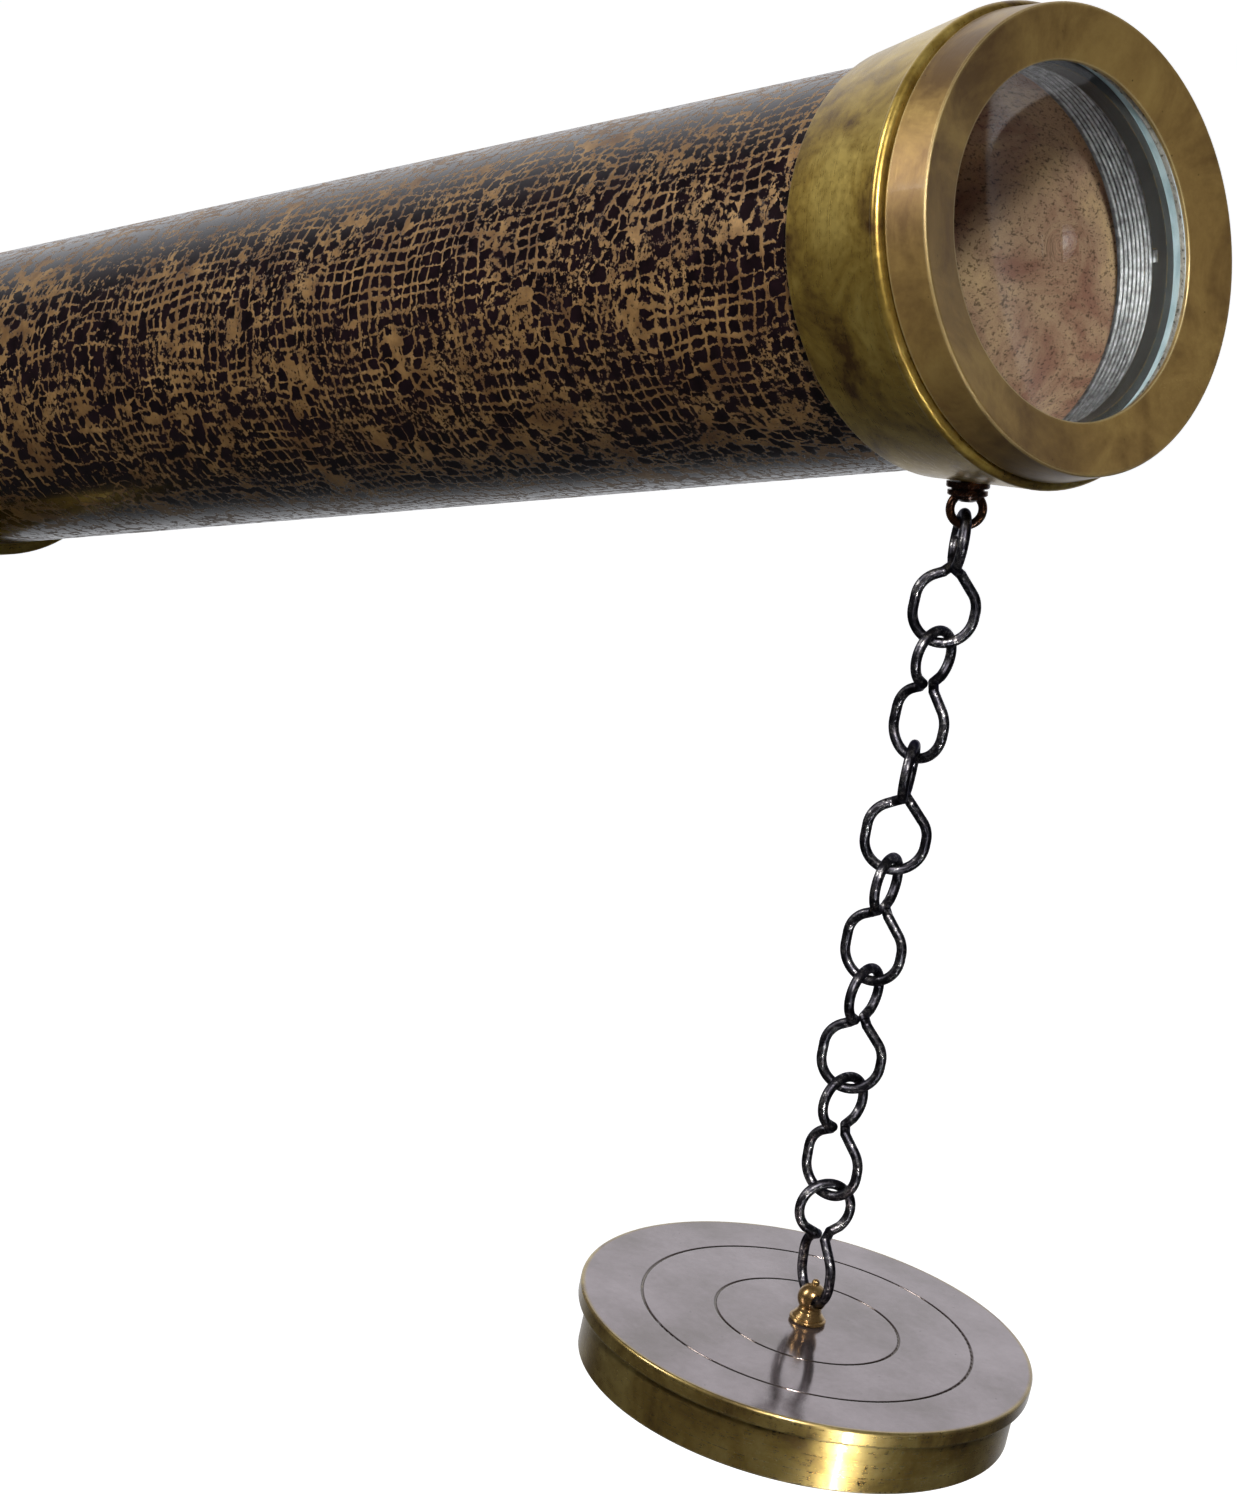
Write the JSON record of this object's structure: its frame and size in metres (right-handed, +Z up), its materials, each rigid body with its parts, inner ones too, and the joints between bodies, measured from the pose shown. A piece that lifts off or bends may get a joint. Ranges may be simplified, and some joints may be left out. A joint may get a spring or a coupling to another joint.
{
  "type": "refracting telescope on a fork mount",
  "caption": "Brass refracting telescope with etched tube, dished bezel, rack focuser, sliding draw tube, fork mount and a lens cap hanging from a chain.",
  "frame": {"origin": "centre of the fork's shoulder face, on the axis of its stem, where it stands on a pillar", "axes": "+Z up along the stem; +X horizontal, under the raised objective; +Y to the left of the line of sight; the tube is stored raised 17 degrees above +X"},
  "size_m": [0.9449, 0.092, 0.3377],
  "materials": {
    "antique_brass": "aged, brown bronze patina, worn bright on edges",
    "etched_brass": "near-black lacquered patina with a finely etched net of bronze",
    "plain_brass": "drawn brass, lightly tarnished",
    "cap_brass": "satin, grey-brown tarnish",
    "red_brass": "reddish, polished by handling",
    "dark_steel": "blackened wire with silvery wear",
    "bright_steel": "turned steel",
    "optical_glass": "polished",
    "matt_black": "matt optical black",
    "matt_black_brass": "blackened brass",
    "washer_leather": "oiled"
  },
  "bodies": {
    "stand": {"yoke": "antique_brass", "tilt_bolt": "bright_steel", "tilt_washers": "washer_leather"},
    "clamp": {"clamp_knob": "antique_brass"},
    "telescope": {"bezel": "antique_brass", "collar": "antique_brass", "crown_lens": "optical_glass", "flint_lens": "optical_glass", "lens_spacer": "plain_brass", "lock_ring": "plain_brass", "main_tube": "etched_brass", "baffle_front": "matt_black", "baffle_middle": "matt_black", "baffle_rear": "matt_black", "eye_bolt": "red_brass", "saddle": "antique_brass", "saddle_screws": "plain_brass", "tail_collar": "antique_brass", "focuser_housing": "antique_brass", "housing_screws": "plain_brass", "guide_front": "plain_brass", "guide_rear": "plain_brass", "pinion_block": "antique_brass", "pinion_cover": "antique_brass", "cover_screws": "plain_brass"},
    "rack_tube": {"focus_tube": "plain_brass", "focus_rack": "plain_brass", "focus_end_ring": "antique_brass"},
    "pinion_shaft": {"pinion": "bright_steel", "knob_left": "antique_brass", "knob_right": "antique_brass", "knob_screws": "bright_steel"},
    "eyepiece": {"draw_tube": "plain_brass", "draw_guide": "plain_brass", "erector_cell": "matt_black_brass", "erector_front_lens": "optical_glass", "erector_rear_lens": "optical_glass", "erector_stop": "matt_black", "eyepiece_barrel": "antique_brass", "field_lens": "optical_glass", "field_stop": "matt_black", "eye_lens": "optical_glass", "eye_ring": "plain_brass", "eye_cup": "antique_brass", "shutter_screw": "bright_steel"},
    "eye_shutter": {"shutter": "antique_brass"},
    "cap": {"cap_disc": "cap_brass", "cap_skirt": "cap_brass", "cap_finial": "red_brass"},
    "chain_1": {"link_1": "dark_steel"},
    "chain_2": {"link_2": "dark_steel"},
    "chain_3": {"link_3": "dark_steel"},
    "chain_4": {"link_4": "dark_steel"},
    "chain_5": {"link_5": "dark_steel"},
    "chain_6": {"link_6": "dark_steel"},
    "chain_7": {"link_7": "dark_steel"}
  },
  "joints": [
    {"name": "tilt", "type": "hinge", "parent": "stand", "child": "telescope", "pos_m": [0, 0, 0.06], "axis": [0, -1, 0], "range_deg": [-37, 43]},
    {"name": "clamp_turn", "type": "hinge", "parent": "stand", "child": "clamp", "pos_m": [0, -0.0233, 0.06], "axis": [0, -1, 0], "range_deg": [0, 270]},
    {"name": "focus_slide", "type": "slide", "parent": "telescope", "child": "rack_tube", "axis": [-0.9563, 0, -0.2924], "range_m": [-0.035, 0.03]},
    {"name": "pinion_spin", "type": "hinge", "parent": "telescope", "child": "pinion_shaft", "pos_m": [-0.26211, 0, 0.01778], "axis": [0, -1, 0], "range_deg": [-420, 360]},
    {"name": "draw_slide", "type": "slide", "parent": "rack_tube", "child": "eyepiece", "axis": [-0.9563, 0, -0.2924], "range_m": [-0.03, 0.035]},
    {"name": "shutter_turn", "type": "hinge", "parent": "eyepiece", "child": "eye_shutter", "pos_m": [-0.52016, 0, -0.0206], "axis": [-0.9563, 0, -0.2924], "range_deg": [0, 80]},
    {"name": "link_1_swing", "type": "hinge", "parent": "telescope", "child": "chain_1", "pos_m": [0.3762, 0, 0.18861], "axis": [0.6428, 0.766, 0], "range_deg": [-40, 40]},
    {"name": "link_2_swing", "type": "hinge", "parent": "chain_1", "child": "chain_2", "pos_m": [0.37576, -0.00051, 0.16807], "axis": [0.1045, -0.9945, 0], "range_deg": [-40, 40]},
    {"name": "link_3_swing", "type": "hinge", "parent": "chain_2", "child": "chain_3", "pos_m": [0.37532, -0.00102, 0.14538], "axis": [-0.5878, 0.809, 0], "range_deg": [-40, 40]},
    {"name": "link_4_swing", "type": "hinge", "parent": "chain_3", "child": "chain_4", "pos_m": [0.37516, -0.0012, 0.12268], "axis": [0.3584, -0.9336, 0], "range_deg": [-40, 40]},
    {"name": "link_5_swing", "type": "hinge", "parent": "chain_4", "child": "chain_5", "pos_m": [0.37501, -0.00138, 0.09998], "axis": [-0.225, 0.9744, 0], "range_deg": [-40, 40]},
    {"name": "link_6_swing", "type": "hinge", "parent": "chain_5", "child": "chain_6", "pos_m": [0.37485, -0.00155, 0.07728], "axis": [-0.0349, -0.9994, 0], "range_deg": [-40, 40]},
    {"name": "link_7_swing", "type": "hinge", "parent": "chain_6", "child": "chain_7", "pos_m": [0.37501, -0.00138, 0.05458], "axis": [0.4384, 0.8988, 0], "range_deg": [-40, 40]},
    {"name": "cap_swing", "type": "hinge", "parent": "chain_7", "child": "cap", "pos_m": [0.37569, -0.00059, 0.0296], "axis": [-0.9563, 0.2924, 0], "range_deg": [-40, 40]}
  ],
  "couplings": [
    {"joint": "pinion_spin", "follows": "focus_slide", "rad_per_m": 208.33}
  ]
}
